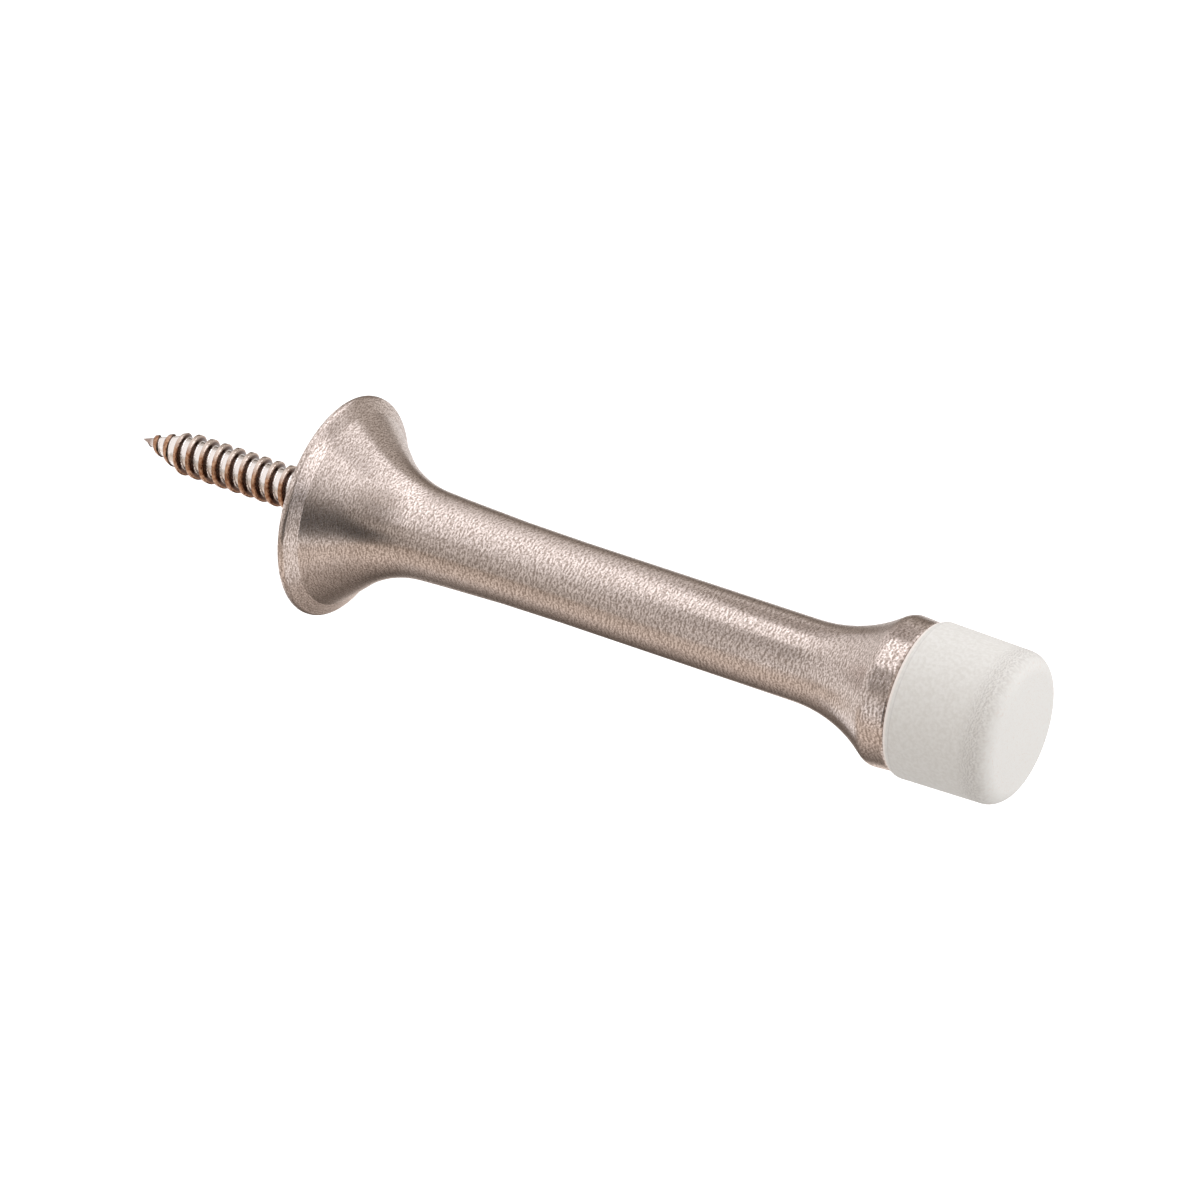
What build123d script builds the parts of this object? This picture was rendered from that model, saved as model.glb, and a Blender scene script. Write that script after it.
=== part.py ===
from build123d import *
import os
from cmath import phase
from math import atan, ceil, cos, degrees, radians, tan

# Rigid wall door stop. X runs out of the wall along the post, the wall is the plane X = 0, and Z is up.
# All sizes are in millimetres and degrees.

# Post: one turned piece with a flared flange, a slim shaft and a belled collar
post_length = 73.3
flange_diameter = 25.4
flange_back_chamfer = 0.3
flange_land = 0.75
rim_band_end = 1.75
rim_band_drop = 1.6
flare_angle = 42.0
flare_cove_radius = 12.5
taper_angle = 3.7
taper_end = 23.0
taper_sweep_radius = 290.0
shaft_diameter = 9.2
collar_bell_angle = 36.0
collar_cove_radius = 16.7
collar_diameter = 16.85
collar_roll_radius = 1.9
collar_band = 3.0
collar_seat_diameter = 16.4
collar_seat_chamfer = 0.25

# Back of the flange: a shallow dish, so that only the outer ring bears on the wall
dish_diameter = 19.0
dish_depth = 0.8
dish_wall_angle = 45.0

# Hanger screw: a plain machine end in the post, a plain shank at the wall, then a wood thread
machine_end_diameter = 4.2
machine_end_length = 12.0
machine_end_chamfer = 0.5
shank_length = 3.2
shank_over_thread = 0.05
screw_reach = 27.0
thread_diameter = 5.0
root_diameter = 3.6
thread_pitch = 1.8
ridge_foot_width = 1.15
ridge_crest_width = 0.5
ridge_bury = 0.2
point_length = 5.0
ridge_taper_length = 6.3
ridge_fade = 0.8
ridge_fade_radius = 0.6

# Rubber bumper: a tapered cap with a barbed stem pushed into the collar
bumper_length = 12.55
bumper_rear_diameter = 17.3
bumper_front_diameter = 16.75
bumper_lip = 0.6
bumper_front_round = 2.1
bumper_crown = 0.4
bumper_crown_diameter = 6.0
stem_bore_diameter = 6.4
stem_length = 9.0
stem_lead = 1.2
barb_height = 0.6
barb_pitch = 2.2
barb_width = 1.6
barb_from_cap = 0.6

# Fits, drilled holes, and the share of a short side that its two roundings may take up
fit_clearance = 0.02
drill_clearance = 1.0
drill_half_angle = 59.0
rounding_share = 0.98

# Worked out from the sizes above
flange_radius = flange_diameter / 2
shaft_radius = shaft_diameter / 2
collar_radius = collar_diameter / 2
machine_end_radius = machine_end_diameter / 2
screw_hole_radius = machine_end_radius + fit_clearance
stem_bore_radius = stem_bore_diameter / 2
thread_radius = thread_diameter / 2
shank_radius = thread_radius + shank_over_thread
root_radius = root_diameter / 2
ridge_start = shank_length - ridge_foot_width
ridge_taper_start = screw_reach - ridge_taper_length
ridge_end = screw_reach - ridge_fade


def seated_roundings(corners):
    """Rounding of each corner, reduced where two of them would meet on a short side."""
    points = [complex(x, radius) for x, radius, rounding in corners]
    sides = [after - before for before, after in zip(points, points[1:] + points[:1])]
    needs = []
    for number, corner in enumerate(corners):
        turn = abs(phase(sides[number] / sides[number - 1]))
        needs.append(corner[2] * tan(turn / 2))
    room = []
    for number, side in enumerate(sides):
        need = needs[number] + needs[(number + 1) % len(needs)]
        room.append(min(1, rounding_share * abs(side) / need) if need else 1)
    return [corner[2] * min(room[n - 1], room[n]) for n, corner in enumerate(corners)]


def turned(corners):
    """Turn a closed half section about X. Each corner is (x, radius, rounding)."""
    points = [(x, radius) for x, radius, rounding in corners]
    outline = FilletPolyline(*points, radius=seated_roundings(corners), close=True)
    return revolve(make_face(outline), Axis.X)


def drilled_end(radius):
    """Length of the cone that a drill leaves at the bottom of a blind hole."""
    return radius / tan(radians(drill_half_angle))


def stop_post():
    """Flange, flare, shaft and collar, with the two blind holes on the axis."""
    dish_floor_radius = dish_diameter / 2 - dish_depth / tan(radians(dish_wall_angle))
    crease_radius = flange_radius - rim_band_drop
    flare_slope = tan(radians(flare_angle))
    taper_slope = tan(radians(taper_angle))
    flare_at_wall = crease_radius + flare_slope * rim_band_end
    taper_at_wall = shaft_radius + taper_slope * taper_end
    foot = (flare_at_wall - taper_at_wall) / (flare_slope - taper_slope)
    foot_radius = taper_at_wall - taper_slope * foot
    collar_start = post_length - collar_band
    seat_edge = collar_seat_diameter / 2
    neck = collar_start - (collar_radius - shaft_radius) / tan(radians(collar_bell_angle))
    hole_bottom = dish_depth + machine_end_length + drill_clearance
    bore_bottom = post_length - stem_length - drill_clearance
    return turned([
        (dish_depth, screw_hole_radius, 0),
        (dish_depth, dish_floor_radius, 0),
        (0, dish_diameter / 2, 0),
        (0, flange_radius - flange_back_chamfer, 0),
        (flange_back_chamfer, flange_radius, 0),
        (flange_land, flange_radius, 0),
        (rim_band_end, crease_radius, 0),
        (foot, foot_radius, flare_cove_radius),
        (taper_end, shaft_radius, taper_sweep_radius),
        (neck, shaft_radius, collar_cove_radius),
        (collar_start, collar_radius, collar_roll_radius),
        (post_length - collar_seat_chamfer, seat_edge, 0),
        (post_length, seat_edge - collar_seat_chamfer, 0),
        (post_length, stem_bore_radius, 0),
        (bore_bottom, stem_bore_radius, 0),
        (bore_bottom - drilled_end(stem_bore_radius), 0, 0),
        (hole_bottom + drilled_end(screw_hole_radius), 0, 0),
        (hole_bottom, screw_hole_radius, 0),
    ])


def screw_blank():
    """The screw without its thread: machine end, shank, root cylinder and cone point."""
    machine_tip = dish_depth + machine_end_length
    shank_step = shank_radius - root_radius
    return turned([
        (machine_tip, 0, 0),
        (machine_tip, machine_end_radius - machine_end_chamfer, 0),
        (machine_tip - machine_end_chamfer, machine_end_radius, 0),
        (dish_depth, machine_end_radius, 0),
        (dish_depth, shank_radius, 0),
        (-shank_length, shank_radius, 0),
        (-shank_length - shank_step, root_radius, 0),
        (point_length - screw_reach, root_radius, 0),
        (-screw_reach, 0, 0),
    ])


def turn_stations(start, end):
    """Equal steps of one turn or less along a stretch of thread, without its end."""
    count = ceil((end - start) / thread_pitch)
    return [start + (end - start) * step / count for step in range(count)]


def ridge_radii(reach):
    """Radii of the ridge's buried foot and of its crest, this far from the wall."""
    share = max(0, (reach - ridge_taper_start) / (ridge_end - ridge_taper_start))
    foot = root_radius - ridge_bury
    return foot + share * (ridge_bury / 2 - foot), thread_radius + share * (ridge_fade_radius - thread_radius)


def corner_line(start, end, offset, radius, end_radius):
    """One right-hand corner line of the ridge about Z, straight or tapering to end_radius."""
    taper = atan((end_radius - radius) / (end - start))
    line = Helix(thread_pitch / cos(taper), end - start, radius, cone_angle=degrees(taper))
    turn = 360 * (start - ridge_start) / thread_pitch
    return (Pos(Z=start + offset) * Rot(Z=turn) * line).edge()


def ridge_lines(start, end):
    """The four corner lines of one step of the ridge, in order: foot, crest, crest, foot."""
    foot, crest = ridge_radii(start)
    end_foot, end_crest = ridge_radii(end)
    return [
        corner_line(start, end, -ridge_foot_width / 2, foot, end_foot),
        corner_line(start, end, -ridge_crest_width / 2, crest, end_crest),
        corner_line(start, end, ridge_crest_width / 2, crest, end_crest),
        corner_line(start, end, ridge_foot_width / 2, foot, end_foot),
    ]


def ridge_cap(lines, end):
    """Flat end of the ridge, through the ends of its four corner lines."""
    return make_face(Polyline(*[line @ end for line in lines], close=True)).face()


def wood_thread():
    """The helical ridge, wound on the root cylinder and then down the cone point."""
    stations = turn_stations(ridge_start, ridge_taper_start) + turn_stations(ridge_taper_start, ridge_end)
    stations.append(ridge_end)
    steps = [ridge_lines(start, end) for start, end in zip(stations, stations[1:])]
    faces = [ridge_cap(steps[0], 0), ridge_cap(steps[-1], 1)]
    for lines in steps:
        faces += [Face.make_surface_from_curves(lines[n - 1], lines[n]) for n in range(len(lines))]
    return Rot(Y=-90) * Solid(Shell(faces))


def mounting_screw():
    """Hanger screw with its wood thread."""
    return screw_blank() + wood_thread()


def stem_barbs(barb_radius, core_radius):
    """Corners of the barbs, from the stem's tip towards the cap: each slopes up, then drops square."""
    count = int((stem_length - stem_lead - barb_from_cap) / barb_pitch)
    corners = []
    for number in reversed(range(count)):
        barb = post_length - barb_from_cap - number * barb_pitch
        corners += [(barb - barb_width, core_radius, 0), (barb, barb_radius, 0), (barb, core_radius, 0)]
    return corners


def rubber_bumper():
    """Cap with a crowned face, and the barbed stem that holds it in the collar."""
    barb_radius = stem_bore_radius - fit_clearance
    core_radius = barb_radius - barb_height
    stem_tip = post_length - stem_length
    bumper_face = post_length + bumper_length
    return turned([
        (stem_tip, 0, 0),
        (stem_tip, core_radius - stem_lead, 0),
        (stem_tip + stem_lead, core_radius, 0),
        *stem_barbs(barb_radius, core_radius),
        (post_length, core_radius, 0),
        (post_length, bumper_rear_diameter / 2 - bumper_lip, 0),
        (post_length + bumper_lip, bumper_rear_diameter / 2, 0),
        (bumper_face - bumper_crown, bumper_front_diameter / 2, bumper_front_round),
        (bumper_face, bumper_crown_diameter / 2, 0),
        (bumper_face, 0, 0),
    ])


os.makedirs("parts", exist_ok=True)
for make in (stop_post, mounting_screw, rubber_bumper):
    piece = make()
    export_step(piece, f"parts/{make.__name__}.step")
    print(make.__name__, "volume", round(piece.volume, 1), "mm3, size", piece.bounding_box().size)
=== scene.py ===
# %% [markdown]
# # Wall door stop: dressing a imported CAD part
# The object is a rigid wall door stop: a turned metal post with a flared flange, a wood screw out of
# the flange's back and a pale rubber bumper on the tip. Nothing on it moves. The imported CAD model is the
# fixed frame: X runs out of the wall, the wall is X = 0, and Z is up.
#
# Dressing could mean putting materials straight on the CAD meshes. Those have small chamfers and flat
# thread crests, which a close view gives away. So Blender rebuilds each of the three pieces at the same
# place and size with its true roundings, gives it a finish, and then sets up the studio.

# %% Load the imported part
import math
import bmesh
import bpy
from mathutils import Matrix, Quaternion, Vector


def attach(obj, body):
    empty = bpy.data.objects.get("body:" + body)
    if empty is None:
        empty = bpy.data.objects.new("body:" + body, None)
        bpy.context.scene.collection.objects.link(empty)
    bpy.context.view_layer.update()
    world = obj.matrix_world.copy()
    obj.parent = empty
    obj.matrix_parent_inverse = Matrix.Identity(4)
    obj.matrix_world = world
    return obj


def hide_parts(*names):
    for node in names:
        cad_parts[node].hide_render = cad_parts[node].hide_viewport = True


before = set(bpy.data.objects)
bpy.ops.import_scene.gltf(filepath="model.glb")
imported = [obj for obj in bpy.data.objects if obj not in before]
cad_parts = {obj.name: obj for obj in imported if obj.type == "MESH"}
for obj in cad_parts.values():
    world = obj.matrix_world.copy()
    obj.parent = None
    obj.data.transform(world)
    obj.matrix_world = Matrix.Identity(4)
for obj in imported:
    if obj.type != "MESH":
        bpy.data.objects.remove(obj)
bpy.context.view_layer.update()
MM = 0.001
print("CAD nodes:", sorted(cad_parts))

# %% [markdown]
# ## A lathe
# Post and bumper are round about the X axis, so each is one half section spun about that axis, which
# is also how the real post is turned on a lathe. A subdivided cylinder would need many loops to hold
# its coves, and a Bevel modifier gives every edge the same width. A list of corners with a rounding
# radius each is closer to a turner's drawing: the helper swaps every rounded corner for a true arc.

# %% Half section with rounded corners
ARC_STEP = math.radians(4)


def rounded_outline(corners):
    """Points of a half section. Each corner is (x, radius, rounding), in millimetres."""
    points = []
    for n, (x, radius, rounding) in enumerate(corners):
        corner = Vector((x, radius))
        if not rounding:
            points.append(corner)
            continue
        before = (Vector(corners[n - 1][:2]) - corner).normalized()
        after = (Vector(corners[n + 1][:2]) - corner).normalized()
        half = before.angle(after) / 2
        centre = corner + (before + after).normalized() * rounding / math.sin(half)
        spoke = corner + before * rounding / math.tan(half) - centre
        sweep = math.copysign(math.pi - 2 * half, -before.cross(after))
        steps = max(2, math.ceil(abs(sweep) / ARC_STEP))
        for step in range(steps + 1):
            points.append(centre + Matrix.Rotation(sweep * step / steps, 2) @ spoke)
    return points


def new_piece(name, bm, sharp_angle):
    """Turn a bmesh into a smooth shaded object with crisp edges above an angle."""
    bmesh.ops.remove_doubles(bm, verts=bm.verts, dist=1e-7)
    bmesh.ops.recalc_face_normals(bm, faces=bm.faces)
    for face in bm.faces:
        face.smooth = True
    mesh = bpy.data.meshes.new(name)
    bm.to_mesh(mesh)
    bm.free()
    mesh.set_sharp_from_angle(angle=math.radians(sharp_angle))
    piece = bpy.data.objects.new(name, mesh)
    bpy.context.scene.collection.objects.link(piece)
    print(name, "has", len(mesh.polygons), "faces")
    return piece


def turned_piece(name, corners, segments, sharp_angle):
    """Spin a half section about the X axis."""
    bm = bmesh.new()
    verts = [bm.verts.new((x * MM, 0, radius * MM)) for x, radius in rounded_outline(corners)]
    edges = [bm.edges.new(pair) for pair in zip(verts, verts[1:])]
    bmesh.ops.spin(bm, geom=verts + edges, cent=(0, 0, 0), axis=(1, 0, 0), dvec=(0, 0, 0),
                   angle=math.tau, steps=segments, use_merge=True)
    return new_piece(name, bm, sharp_angle)


# %% [markdown]
# ## The post
# The real post is one turned bar: a flange with a narrow rim band, a crease, a trumpet flare, a slim
# tapering shaft and a belled collar. The corners below are the CAD part's own sizes, the dished back and
# the two blind holes among them. The edges that the CAD part only chamfers are true roundings here,
# because light catches on them in a close view. The crease between rim band and flare stays sharp: it is
# a thin line round the flange on the real part.

# %% Turn the post
POST_LENGTH = 73.3
post_corners = [
    (14.9, 0, 0), (13.8, 2.12, 0), (0.8, 2.12, 0),
    (0.8, 8.7, 0.4), (0, 9.5, 0.15),
    (0, 12.7, 0.35), (0.75, 12.7, 0.5), (1.75, 11.1, 0),
    (8.12, 5.366, 12.5), (23, 4.6, 290), (64.88, 4.6, 16.7),
    (70.3, 8.425, 1.9), (POST_LENGTH, 8.2, 0.4),
    (POST_LENGTH, 3.2, 0), (63.3, 3.2, 0), (61.4, 0, 0),
]
post = turned_piece("turned_post", post_corners, 256, 12)
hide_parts("stop_post")
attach(post, "root")

# %% [markdown]
# ## The wood screw
# A wood thread is a ridge that winds round a root and runs out down a gimlet point. A Screw modifier
# gives a ridge of one height, and a sculpt would never be even. Here the radius is worked out at each
# place along and around the shank: the root, plus a rounded ridge wherever the place is near the helix.
# The share of the ridge's height is kept on the mesh, so that the finish can tell root from crest.

# %% Sizes of the screw
PITCH, ROOT, CREST = 1.8, 1.8, 2.5
SHANK, SHANK_END, REACH = 2.55, 3.2, 27.0
POINT, RIDGE_TAPER, RIDGE_FADE = 5.0, 6.3, 0.8
RIDGE_START, RIDGE_FOOT, RIDGE_CREST = 2.05, 1.05, 0.4
SHANK_STEP, TIP_CREST, FADE_LENGTH = 0.75, 0.6, 0.7
MACHINE_TIP, MACHINE_BEVEL, DISH_FLOOR = -12.8, -12.3, -0.8
MACHINE_TIP_RADIUS, MACHINE_RADIUS = 1.6, 2.1


def smooth_step(low, high, value):
    """0 below low, 1 above high and a soft curve between them."""
    share = min(1, max(0, (value - low) / (high - low)))
    return share * share * (3 - 2 * share)


def ridge_share(depth, turn):
    """Share of the ridge's height at a depth behind the wall and a part of a turn, 0 to 1."""
    across = ((depth - RIDGE_START) / PITCH + turn + 0.5) % 1 - 0.5
    return 1 - smooth_step(RIDGE_CREST / 2, RIDGE_FOOT / 2, abs(across) * PITCH)


def root_radius(depth):
    """Radius of the screw without its ridge."""
    point = min(1, (REACH - depth) / POINT)
    shank = 1 - smooth_step(SHANK_END, SHANK_END + SHANK_STEP, depth)
    return max(ROOT * point, SHANK * shank)


def crest_radius(depth):
    """Radius over the ridge, which runs out down the point."""
    taper = min(1, max(0, (depth - REACH + RIDGE_TAPER) / (RIDGE_TAPER - RIDGE_FADE)))
    return CREST + (TIP_CREST - CREST) * taper


print("thread of", round((REACH - SHANK_END) / PITCH, 1), "turns")

# %% [markdown]
# ## Winding the screw
# The mesh is a stack of rings from the hidden machine end to the tip. Rings must be close together for
# the ridge to look smooth, about 28 to one pitch, and they need not follow the helix: at 96 places round
# each ring the ridge passes through the grid cleanly. A mesh that follows the helix has fewer faces, but
# its start and its run-out at the point are hard to close.

# %% Wind the screw
SCREW_SEGMENTS = 96
ROWS_PER_PITCH = 28


def screw_rows():
    """Depths behind the wall of the mesh's rings, from the hidden machine end to the tip."""
    rows = [MACHINE_TIP, MACHINE_TIP, MACHINE_BEVEL, DISH_FLOOR, DISH_FLOOR, 0, SHANK_END - 0.2]
    step = PITCH / ROWS_PER_PITCH
    count = math.floor((REACH - SHANK_END) / step)
    return rows + [SHANK_END + number * step for number in range(count)] + [REACH]


def screw_ring(row, depth):
    """Radius and ridge share at each place round one ring."""
    plain = {0: 0, 1: MACHINE_TIP_RADIUS, 2: MACHINE_RADIUS, 3: MACHINE_RADIUS,
             4: SHANK, 5: SHANK, 6: SHANK}
    ring = []
    for segment in range(SCREW_SEGMENTS):
        root = plain.get(row, root_radius(depth))
        share = 0
        if row not in plain:
            share = ridge_share(depth, segment / SCREW_SEGMENTS)
            share *= crest_radius(depth) > root
            share *= 1 - smooth_step(REACH - RIDGE_FADE - FADE_LENGTH, REACH - RIDGE_FADE, depth)
        ring.append((root + share * max(0, crest_radius(depth) - root), share))
    return ring


bm = bmesh.new()
height_layer = bm.verts.layers.float.new("ridge")
rings = []
for row, depth in enumerate(screw_rows()):
    verts = []
    for segment, (radius, share) in enumerate(screw_ring(row, depth)):
        angle = math.tau * segment / SCREW_SEGMENTS
        vert = bm.verts.new((-depth * MM, radius * math.cos(angle) * MM, radius * math.sin(angle) * MM))
        vert[height_layer] = share
        verts.append(vert)
    rings.append(verts)
for here, there in zip(rings, rings[1:]):
    for n in range(SCREW_SEGMENTS):
        bm.faces.new((here[n - 1], here[n], there[n], there[n - 1]))
screw = new_piece("hanger_screw", bm, 40)
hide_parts("mounting_screw")
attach(screw, "root")

# %% [markdown]
# ## The rubber bumper
# The bumper is one soft moulding: a slightly tapered cap with a broad round edge and a barely crowned
# face, and a stem that is pushed into the collar. A cube with rounded edges and a cast to a cylinder would
# do for the cap, but not for its flat back and the stem, so it is spun like the post. Its back edge is a
# small round lip, so a dark hairline shows between rubber and metal. The stem is plain here: the barbs
# of the CAD part are hidden in the collar and never seen.

# %% Turn the bumper
FACE = POST_LENGTH + 12.55
bumper_corners = [
    (64.3, 0, 0), (64.3, 1.38, 0), (65.5, 2.58, 0), (POST_LENGTH, 2.58, 0),
    (POST_LENGTH, 8.35, 0.3), (POST_LENGTH + 0.7, 8.65, 0.9), (FACE - 0.42, 8.36, 2.2),
    (FACE - 0.02, 3, 30), (FACE, 0, 0),
]
bumper = turned_piece("rubber_cap", bumper_corners, 256, 30)
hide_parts("rubber_bumper")
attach(bumper, "root")

# %% [markdown]
# ## Small helpers for nodes
# A finish is a tree of nodes, and each node takes several lines to make, set and link. These helpers
# shorten that to one call each, so that a finish reads like a recipe. A socket or a plain value can go
# into any of them.

# %% Node helpers
def add(tree, kind, **values):
    """Add a node. Values set its properties."""
    node = tree.nodes.new(kind)
    for key, value in values.items():
        setattr(node, key, value)
    return node


def feed(tree, socket, source):
    """Link a socket, or set it to a plain value."""
    if isinstance(source, bpy.types.NodeSocket):
        tree.links.new(source, socket)
    else:
        socket.default_value = source


def maths(tree, operation, first, second=0.0):
    """A Math node's result."""
    node = add(tree, "ShaderNodeMath", operation=operation)
    feed(tree, node.inputs[0], first)
    feed(tree, node.inputs[1], second)
    return node.outputs[0]


def spread(tree, value, from_low, from_high, to_low, to_high):
    """A value moved from one range to another."""
    node = add(tree, "ShaderNodeMapRange")
    for socket, number in zip(node.inputs[1:5], (from_low, from_high, to_low, to_high)):
        socket.default_value = number
    feed(tree, node.inputs[0], value)
    return node.outputs[0]


def split_place(tree, place):
    """The three parts of a place or direction."""
    node = add(tree, "ShaderNodeSeparateXYZ")
    feed(tree, node.inputs[0], place)
    return node.outputs


def object_place(tree):
    """The place on the piece in its own coordinates."""
    return add(tree, "ShaderNodeTexCoord").outputs["Object"]


def new_group(name, inputs, outputs):
    """An empty shader node group with its named sockets."""
    group = bpy.data.node_groups.new(name, "ShaderNodeTree")
    for label, value in inputs.items():
        socket = group.interface.new_socket(label, in_out="INPUT", socket_type="NodeSocketFloat")
        socket.default_value = value
    for label in outputs:
        group.interface.new_socket(label, in_out="OUTPUT", socket_type="NodeSocketFloat")
    return group, add(group, "NodeGroupInput"), add(group, "NodeGroupOutput")


# %% [markdown]
# ## Grain that winds round the axis
# The post is brushed while it turns, so its scratches are short arcs round the axis. An image of
# scratches would need an unwrapped mesh. A noise texture does it without a seam. Its first coordinate is
# the path along the half section, which runs fast: the place along the axis plus the climb away from the
# slim shaft, so flare and bell get the same grain as the shaft. Its other two are the plain Y and Z,
# which run slowly, so each spot of noise becomes a dash round the axis.
#
# One noise also has broad blotches, which look like stains on metal. The difference between it and the
# same noise shifted along the path keeps only the fine change. A second, even noise is the speckle that
# the plating has besides.

# %% Group: grain round the axis
SLIM_RADIUS, SHAFT_MIDDLE = 4.6, 40.0
STREAK_SHIFT = 0.8


def path_along(group, along, across, up):
    """Distance along the half section, roughly: along the axis, plus the climb at both ends."""
    square = maths(group, "ADD", maths(group, "MULTIPLY", across, across), maths(group, "MULTIPLY", up, up))
    climb = maths(group, "SUBTRACT", maths(group, "SQRT", square), SLIM_RADIUS * MM)
    end = maths(group, "SIGN", maths(group, "SUBTRACT", along, SHAFT_MIDDLE * MM))
    return maths(group, "ADD", along, maths(group, "MULTIPLY", climb, end))


def noise_at(group, place, scale, detail):
    """A noise texture's value."""
    noise = add(group, "ShaderNodeTexNoise")
    feed(group, noise.inputs["Vector"], place)
    feed(group, noise.inputs["Scale"], scale)
    feed(group, noise.inputs["Detail"], detail)
    return noise.outputs[0]


def axis_grain_group():
    """Fine dashes that lie round the X axis, and a fine even speckle."""
    inputs = {"Streaks per metre": 9000.0, "Dashes per metre": 1500.0, "Speckles per metre": 6500.0}
    group, given, put = new_group("axis_grain", inputs, ["Streak", "Speckle"])
    place = object_place(group)
    along, across, up = split_place(group, place)
    path = path_along(group, along, across, up)
    path = maths(group, "MULTIPLY", path, given.outputs["Streaks per metre"])
    slow = given.outputs["Dashes per metre"]
    streaks = []
    for shift in (0, STREAK_SHIFT):
        join = add(group, "ShaderNodeCombineXYZ")
        feed(group, join.inputs[0], maths(group, "ADD", path, shift))
        feed(group, join.inputs[1], maths(group, "MULTIPLY", across, slow))
        feed(group, join.inputs[2], maths(group, "MULTIPLY", up, slow))
        streaks.append(noise_at(group, join.outputs[0], 1.0, 1.0))
    change = maths(group, "SUBTRACT", streaks[0], streaks[1])
    feed(group, put.inputs["Streak"], maths(group, "ADD", change, 0.5))
    feed(group, put.inputs["Speckle"], noise_at(group, place, given.outputs["Speckles per metre"], 2.0))
    return group


axis_grain = axis_grain_group()
print("node group", axis_grain.name, "with", len(axis_grain.nodes), "nodes")

# %% [markdown]
# ## Small helpers for finishes
# Every finish starts from one Principled shader, takes the grain group with its own numbers, and mixes a
# few colours by shares between 0 and 1. A colour ramp would hide those shares inside one node. A mix of
# two colours at a time keeps each step in view.

# %% Material helpers
def new_material(name, colour):
    """A material with its Principled shader."""
    material = bpy.data.materials.new(name)
    material.use_nodes = True
    material.diffuse_color = (*colour, 1)
    shader = material.node_tree.nodes["Principled BSDF"]
    return material, material.node_tree, shader


def place_group(tree, group, **values):
    """A node group with its own values in a material."""
    node = add(tree, "ShaderNodeGroup", node_tree=group)
    for label, value in values.items():
        node.inputs[label.replace("_", " ")].default_value = value
    return node.outputs


def blend_colour(tree, share, low, high):
    """A colour between two by a share."""
    node = add(tree, "ShaderNodeMix", data_type="RGBA")
    feed(tree, node.inputs["Factor"], share)
    for socket, colour in zip((node.inputs[6], node.inputs[7]), (low, high)):
        feed(tree, socket, colour if isinstance(colour, bpy.types.NodeSocket) else (*colour, 1))
    return node.outputs[2]


def along_band(tree, low, high, soft):
    """1 where the place along the axis is between two millimetre marks, with soft ends."""
    along = split_place(tree, object_place(tree))[0]
    rise = spread(tree, along, (low - soft) * MM, (low + soft) * MM, 0, 1)
    fall = spread(tree, along, (high - soft) * MM, (high + soft) * MM, 1, 0)
    return maths(tree, "MULTIPLY", rise, fall)


def bump(tree, shader, height, strength, distance):
    """Feed a height to the shader's normal."""
    node = add(tree, "ShaderNodeBump")
    node.inputs["Strength"].default_value = strength
    node.inputs["Distance"].default_value = distance
    feed(tree, node.inputs["Height"], height)
    feed(tree, shader.inputs["Normal"], node.outputs[0])


# %% [markdown]
# ## Satin nickel
# The post is nickel plated and brushed to a satin, with a warm, slightly pink reflection. Such a surface
# blurs what it mirrors, far along the post and little round it, so the highlights are long stripes with
# fairly crisp edges. A plain rough metal blurs both ways alike and looks like cast paint. The shader's
# anisotropy with a tangent round the axis gives the stripes. The grain then varies colour and roughness,
# and the bump only a little, because a strong bump looks like leather. Speckle outweighs dashes.

# %% Satin nickel
def satin_nickel_finish():
    """Warm brushed nickel of the post."""
    material, tree, shader = new_material("satin_nickel", (0.66, 0.58, 0.53))
    grain = place_group(tree, axis_grain, Streaks_per_metre=4200.0, Dashes_per_metre=2100.0,
                        Speckles_per_metre=4800.0)
    mixed = maths(tree, "ADD", maths(tree, "MULTIPLY", grain["Streak"], 0.42),
                  maths(tree, "MULTIPLY", grain["Speckle"], 0.58))
    tone = spread(tree, mixed, 0.39, 0.61, 0, 1)
    colour = blend_colour(tree, tone, (0.335, 0.265, 0.225), (0.75, 0.645, 0.59))
    feed(tree, shader.inputs["Base Color"], colour)
    feed(tree, shader.inputs["Roughness"], spread(tree, mixed, 0.40, 0.60, 0.35, 0.27))
    shader.inputs["Metallic"].default_value = 1.0
    shader.inputs["Anisotropic"].default_value = 0.86
    shader.inputs["Anisotropic Rotation"].default_value = 0.25
    tangent = add(tree, "ShaderNodeTangent", direction_type="RADIAL", axis="X")
    feed(tree, shader.inputs["Tangent"], tangent.outputs[0])
    bump(tree, shader, mixed, 0.2, 0.00002)
    return material


post.data.materials.append(satin_nickel_finish())
print("finish of the post:", post.data.materials[0].name)
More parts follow.
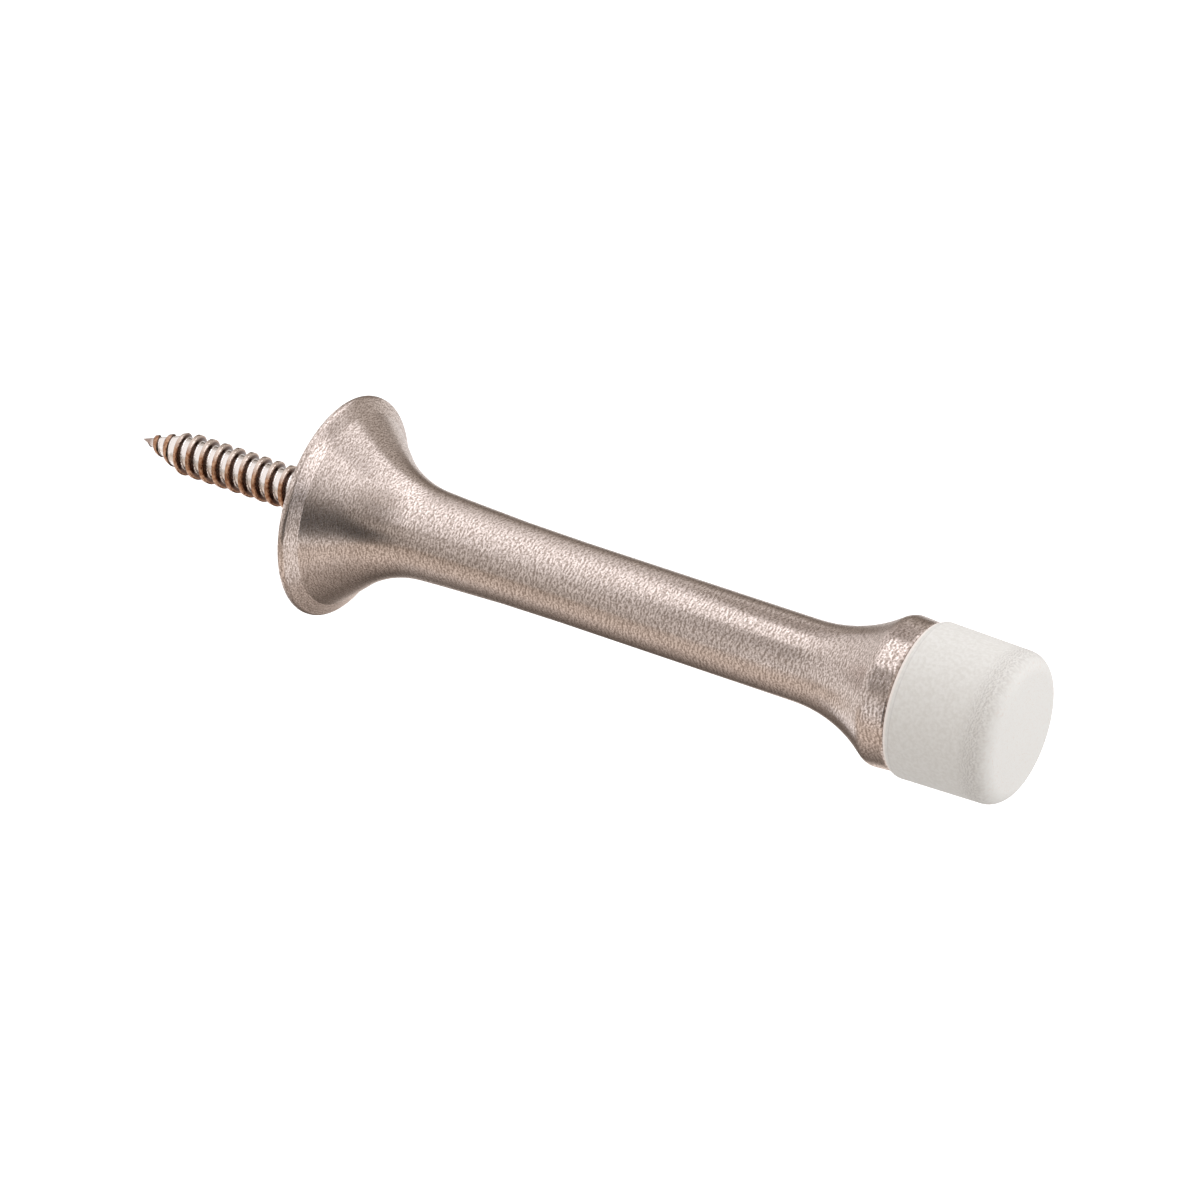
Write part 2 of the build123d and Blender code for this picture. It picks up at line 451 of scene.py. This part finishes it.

# %% [markdown]
# ## Screw steel
# The screw is plated steel. Its roots are bright and its crests are brown. The flanks carry painted
# shade, and the crests a painted highlight along their upper side. Reflections alone don't give that
# contrast at this size, and separate materials on faces would make hard steps. So the colour follows the
# share of the ridge's height that was kept on the mesh: root, then flank, then crest. The tip is duller.

# %% Screw steel
def screw_steel_finish():
    """Bright plated roots, flanks with painted shade, brown crests with a painted highlight on top."""
    material, tree, shader = new_material("screw_steel", (0.60, 0.50, 0.42))
    grain = place_group(tree, axis_grain, Streaks_per_metre=5000.0, Dashes_per_metre=1500.0,
                        Speckles_per_metre=2500.0)
    ridge = add(tree, "ShaderNodeAttribute", attribute_name="ridge").outputs["Fac"]
    tip = along_band(tree, -REACH - 1, 1.6 - REACH, 0.4)
    root = blend_colour(tree, tip, (0.86, 0.80, 0.76), (0.36, 0.27, 0.23))
    # Painted shade: the flanks of the ridge are painted dark.
    shaded_flank = blend_colour(tree, spread(tree, ridge, 0.03, 0.2, 0, 1), root, (0.10, 0.06, 0.045))
    wear = spread(tree, grain["Speckle"], 0.4, 0.6, 0, 1)
    crest = blend_colour(tree, wear, (0.29, 0.135, 0.07), (0.50, 0.30, 0.19))
    # Painted highlight: the upper side of the crests is painted paler.
    up = split_place(tree, object_place(tree))[2]
    painted_top_highlight = spread(tree, up, 1.5 * MM, 2.3 * MM, 0, 0.75)
    crest = blend_colour(tree, painted_top_highlight, crest, (0.80, 0.70, 0.63))
    colour = blend_colour(tree, spread(tree, ridge, 0.55, 0.95, 0, 1), shaded_flank, crest)
    feed(tree, shader.inputs["Base Color"], colour)
    feed(tree, shader.inputs["Roughness"], spread(tree, grain["Speckle"], 0.35, 0.65, 0.16, 0.26))
    shader.inputs["Metallic"].default_value = 1.0
    bump(tree, shader, grain["Streak"], 0.2, 0.00002)
    return material


screw.data.materials.append(screw_steel_finish())
print("finish of the screw:", screw.data.materials[0].name)

# %% [markdown]
# ## Bumper rubber
# The bumper is matt off-white rubber with a faint mottle. Wear is kept to two places: fine grey scuffs
# along the front corner, which is what meets the door, and a few tan specks on the face. The face also
# gets painted light, which makes it lighter than the side. A faint mould line and a pale edge run round
# the rear. Painted marks would need an image, so each is a soft band along the axis, and the grain breaks
# the scuffs and specks up.

# %% Bumper rubber
def bumper_rubber_finish():
    """Matt off-white rubber with a scuffed front corner."""
    material, tree, shader = new_material("bumper_rubber", (0.72, 0.70, 0.66))
    grain = place_group(tree, axis_grain, Streaks_per_metre=6000.0, Dashes_per_metre=4000.0,
                        Speckles_per_metre=2600.0)
    mottle = spread(tree, grain["Speckle"], 0.35, 0.65, 0, 1)
    colour = blend_colour(tree, mottle, (0.64, 0.615, 0.57), (0.70, 0.68, 0.64))
    face = along_band(tree, FACE - 0.9, FACE + 1, 0.5)
    # Painted light: the face is painted lighter than the side.
    colour = blend_colour(tree, maths(tree, "MULTIPLY", face, 0.75), colour, (0.78, 0.765, 0.725))
    scuffs = spread(tree, grain["Streak"], 0.42, 0.68, 0.06, 0.7)
    corner = maths(tree, "MULTIPLY", along_band(tree, FACE - 3.4, FACE - 1.4, 0.7), scuffs)
    colour = blend_colour(tree, corner, colour, (0.47, 0.44, 0.41))
    specks = maths(tree, "MULTIPLY", face, spread(tree, grain["Streak"], 0.62, 0.78, 0, 0.35))
    colour = blend_colour(tree, specks, colour, (0.68, 0.55, 0.46))
    mould_line = along_band(tree, POST_LENGTH + 0.78, POST_LENGTH + 0.9, 0.04)
    colour = blend_colour(tree, maths(tree, "MULTIPLY", mould_line, 0.3), colour, (0.45, 0.42, 0.40))
    rear_edge = along_band(tree, POST_LENGTH - 1, POST_LENGTH + 0.42, 0.12)
    colour = blend_colour(tree, maths(tree, "MULTIPLY", rear_edge, 0.8), colour, (0.86, 0.78, 0.72))
    feed(tree, shader.inputs["Base Color"], colour)
    feed(tree, shader.inputs["Roughness"], spread(tree, grain["Speckle"], 0.3, 0.7, 0.62, 0.78))
    shader.inputs["Specular IOR Level"].default_value = 0.35
    bump(tree, shader, grain["Speckle"], 0.15, 0.00003)
    return material


bumper.data.materials.append(bumper_rubber_finish())
print("finish of the bumper:", bumper.data.materials[0].name)

# %% [markdown]
# ## The camera
# The photo looks down on the part from its front right, with the bumper nearest. Azimuth, elevation,
# distance and lens were fitted to the outlines of flange, collar and bumper in the photo. An aim at the
# part's middle would put the part at the centre of the picture, so two small shifts move the camera
# sideways and up instead, without turning it.

# %% Camera
AZIMUTH, ELEVATION = math.radians(31.41), math.radians(33.27)
DISTANCE, RIGHT_SHIFT, UP_SHIFT = 580 * MM, 28.87 * MM, -10.61 * MM
right = Vector((math.cos(AZIMUTH), math.sin(AZIMUTH), 0))
back = Vector((math.sin(AZIMUTH) * math.cos(ELEVATION), -math.cos(AZIMUTH) * math.cos(ELEVATION),
               math.sin(ELEVATION)))
above = back.cross(right)
camera = bpy.data.objects.new("camera", bpy.data.cameras.new("camera"))
bpy.context.scene.collection.objects.link(camera)
camera.data.sensor_width = 36
camera.data.lens = 156.3
camera.data.clip_start = 0.01
camera.matrix_world = Matrix((right, above, back)).transposed().to_4x4()
camera.matrix_world.translation = right * RIGHT_SHIFT + above * UP_SHIFT + back * DISTANCE
bpy.context.scene.camera = camera
print("camera with a lens of", camera.data.lens, "mm")

# %% [markdown]
# ## The floor
# The photo has a plain white ground and no shadow, as for a part hung well above white paper. The floor is
# a large square 200 mm below the part. Paper alone renders as light grey, and brighter lamps would
# overdo the part, so the paper also glows for the camera and for mirrored rays. It does not glow for
# the rays that light the rubber, so the part's own shading stays as the lamps make it.

# %% Floor
FLOOR_Z = -200 * MM
FLOOR_SIDE = 6.0
MIRROR_GLOW, CAMERA_GLOW = 0.38, 0.25


def flat_square(name, side):
    """A flat square mesh object in the XY plane."""
    bm = bmesh.new()
    bmesh.ops.create_grid(bm, x_segments=1, y_segments=1, size=side / 2)
    mesh = bpy.data.meshes.new(name)
    bm.to_mesh(mesh)
    bm.free()
    return bpy.data.objects.new(name, mesh)


def matt_finish(name, colour):
    """Paper or card without any gloss."""
    material, _, shader = new_material(name, colour)
    shader.inputs["Base Color"].default_value = (*colour, 1)
    shader.inputs["Roughness"].default_value = 1.0
    shader.inputs["Specular IOR Level"].default_value = 0.0
    return material


def floor_finish():
    """White paper that glows for the camera and for mirrored rays."""
    material = matt_finish("floor_white", (0.75, 0.75, 0.75))
    tree = material.node_tree
    path = add(tree, "ShaderNodeLightPath")
    seen = maths(tree, "MAXIMUM", path.outputs["Is Camera Ray"], path.outputs["Is Glossy Ray"])
    seen = maths(tree, "MAXIMUM", seen, path.outputs["Is Transmission Ray"])
    by_camera = maths(tree, "MULTIPLY", path.outputs["Is Camera Ray"], CAMERA_GLOW)
    white = add(tree, "ShaderNodeEmission")
    glow = maths(tree, "ADD", maths(tree, "MULTIPLY", seen, MIRROR_GLOW), by_camera)
    feed(tree, white.inputs["Strength"], glow)
    both = add(tree, "ShaderNodeAddShader")
    feed(tree, both.inputs[0], tree.nodes["Principled BSDF"].outputs[0])
    feed(tree, both.inputs[1], white.outputs[0])
    feed(tree, tree.nodes["Material Output"].inputs["Surface"], both.outputs[0])
    return material


floor = flat_square("floor", FLOOR_SIDE)
floor.location = (0, 0, FLOOR_Z)
floor.data.materials.append(floor_finish())
bpy.context.scene.collection.objects.link(floor)
print("floor at", round(FLOOR_Z / MM), "mm")

# %% [markdown]
# ## The lights
# The look of a satin metal is what it mirrors, so the lights are placed by the stripes in the photo. A
# long narrow softbox over the post makes the crisp bright stripe along its upper side. A large one at the
# right fills the flare, a weak one at the left the bell, and a small one makes the rim's glint. The last
# two stand close to the collar's front and below the bell. Their beams are narrow, like lamps behind a
# honeycomb, so the flange and the shaft, which mirror the same places, don't catch them.
#
# A lamp's power is worked out from the brightness that the part sees, 1 being white. A bigger box then
# gives softer light, not a brighter stripe. A narrow beam needs less power for the same brightness.

# %% Lights
LAMP_COLOUR = (0.935, 0.985, 1.07)
MIDDLE = Vector((40, 0, 0)) * MM
COLLAR, COLLAR_FRONT = Vector((72, -8, 2)) * MM, Vector((44, -94, -6)) * MM
BELL, BELL_BELOW = Vector((67, -5, -1)) * MM, Vector((-37, 6, -97)) * MM


def around(azimuth, elevation, distance):
    """A place round the middle of the part. Azimuth runs from +X towards +Y."""
    az, el = math.radians(azimuth), math.radians(elevation)
    way = Vector((math.cos(el) * math.cos(az), math.cos(el) * math.sin(az), math.sin(el)))
    return MIDDLE + way * distance


def hang(thing, place, roll, aim=MIDDLE):
    """Put a light or a card at a place, facing its aim and rolled about its own axis."""
    thing.location = place
    thing.rotation_mode = "QUATERNION"
    facing = (place - aim).to_track_quat("Z", "Y")
    thing.rotation_quaternion = facing @ Quaternion((0, 0, 1), math.radians(roll))
    bpy.context.scene.collection.objects.link(thing)


def softbox(name, place, roll, width, depth, brightness, aim=MIDDLE, beam=180):
    """A rectangular soft light of a brightness seen from its aim, and a beam in degrees."""
    lamp = bpy.data.lights.new(name, "AREA")
    lamp.shape = "RECTANGLE"
    lamp.size, lamp.size_y = width, depth
    half = math.radians(beam) / 2
    lamp.spread = 2 * half
    lamp.energy = math.pi * width * depth * brightness * (1 - half / math.tan(half))
    lamp.color = LAMP_COLOUR
    hang(bpy.data.objects.new(name, lamp), place, roll, aim)
    print(name, "of", round(lamp.energy, 4), "watts")


softbox("softbox_over", around(171, 76, 0.6), 10, 1.73, 0.18, 1.95)
softbox("softbox_right", around(20, 37, 0.4), 47, 1.11, 0.456, 1.03)
softbox("softbox_left", around(190, 26, 0.42), -41, 0.857, 0.756, 0.49)
softbox("softbox_rim", around(19, 12, 0.45), 0, 0.13, 0.16, 1.45)
softbox("softbox_collar", COLLAR_FRONT, 0, 0.04, 0.10, 1.35, COLLAR, 54)
softbox("softbox_bell", BELL_BELOW, 0, 0.08, 0.08, 1.4, BELL, 22)

# %% [markdown]
# ## The cards
# Photographers stand dark cards round bright metal, or it mirrors white paper and loses its form. Here one
# card in front makes the dark wedge on the flare, one behind darkens the post's upper edge, and two small
# ones shade the neck and the collar. One below darkens the post's lower edge with a painted shadow. A
# dimmed floor in front keeps the lower half of the post from going white. Less light would flatten the
# stripes as well. Only reflections see the cards: they cast no shadow, don't dim the rubber and aren't in
# the picture.

# %% Cards
UP = Vector((0, 0, 1))


def card(name, place, roll, width, depth, finish, aim=MIDDLE):
    """A card that only reflections see."""
    thing = flat_square(name, 1)
    thing.data.materials.append(finish)
    thing.scale = (width, depth, 1)
    hang(thing, place, roll, aim)
    thing.visible_camera = thing.visible_shadow = thing.visible_diffuse = False
    print(name, "of", round(width / MM), "by", round(depth / MM), "mm")


FRONT_FLOOR = Vector((-350, -650, -195)) * MM
front_floor_finish = matt_finish("card_front_floor", (0.83, 0.76, 0.69))
card("card_front_floor", FRONT_FLOOR, 0, 1.4, 1.1, front_floor_finish, FRONT_FLOOR + UP)
card("card_front", around(314, 1, 0.45), 11, 0.86, 0.261, matt_finish("card_front", (0.04, 0.04, 0.04)))
card("card_back", around(116, 2, 0.45), 0, 0.34, 0.167, matt_finish("card_back", (0.24, 0.20, 0.165)))
NECK_ABOVE, NECK = Vector((54, 23.4, 39.7)) * MM, Vector((58, 0, 0)) * MM
card("card_over", NECK_ABOVE, 0, 0.038, 0.029, matt_finish("card_over", (0.62, 0.58, 0.55)), NECK)
SEAT_NEAR, SEAT = Vector((41, -69, 65)) * MM, Vector((85, -3, 3)) * MM
card("card_near", SEAT_NEAR, 22, 0.036, 0.06, matt_finish("card_near", (0.18, 0.16, 0.15)), SEAT)

# %% [markdown]
# ## The graded card below: a painted shadow
# The post's lower side darkens softly towards its edge, where it mirrors the shadow it would cast on a
# table just beneath it. This card carries that shadow painted on, graded as if air-brushed: pale at its
# front edge, dark further back, because an even card gives a hard line there. The fade runs in a V, and
# two back corners stay pale, because the flare and the bell mirror those places and are pale below.

# %% Graded card
UNDER = Vector((18, 3, -100)) * MM
PALE, PAINTED_SHADOW = (0.9, 0.82, 0.75), (0.12, 0.10, 0.085)
V_MIDDLE, V_SLOPE, FADE_FROM, FADE_TO = 16, 0.6, -85, 25


def painted_shadow_finish(name):
    """Card with a painted shadow that darkens from its front edge to the back, pale at two corners."""
    material = matt_finish(name, PAINTED_SHADOW)
    tree = material.node_tree
    along, across, _ = split_place(tree, add(tree, "ShaderNodeNewGeometry").outputs["Position"])
    sideways = maths(tree, "ABSOLUTE", maths(tree, "SUBTRACT", along, V_MIDDLE * MM))
    depth = maths(tree, "ADD", across, maths(tree, "MULTIPLY", sideways, V_SLOPE))
    # Painted shadow: the card darkens where the post's shadow would lie on a table beneath it.
    shade = spread(tree, depth, FADE_FROM * MM, FADE_TO * MM, 0, 1)
    right_corner = spread(tree, maths(tree, "ADD", along, across), 50 * MM, 80 * MM, 1, 0)
    slant = maths(tree, "SUBTRACT", along, maths(tree, "MULTIPLY", across, 0.4))
    left_corner = spread(tree, slant, -66 * MM, -46 * MM, 0, 1)
    shade = maths(tree, "MULTIPLY", shade, maths(tree, "MULTIPLY", right_corner, left_corner))
    feed(tree, tree.nodes["Principled BSDF"].inputs["Base Color"], blend_colour(tree, shade, PALE, PAINTED_SHADOW))
    return material


card("painted_shadow_card", UNDER, 0, 0.14, 0.205, painted_shadow_finish("painted_shadow_card"), UNDER + UP)

# %% [markdown]
# ## The world
# The rest of the studio is a room with pale, slightly warm walls. The metal mirrors it wherever no lamp or
# card stands, so it sets the tone of the shadows. A sky or a photographed room would put shapes in the
# metal that the photo doesn't have, so it is one plain colour. The Standard view transform shows each
# colour as it is written.

# %% World
world = bpy.data.worlds.new("studio")
bpy.context.scene.world = world
world.use_nodes = True
background = world.node_tree.nodes["Background"]
background.inputs["Color"].default_value = (1, 0.935, 0.88, 1)
background.inputs["Strength"].default_value = 0.6
bpy.context.scene.view_settings.view_transform = "Standard"
print("world at", round(background.inputs["Strength"].default_value, 2))
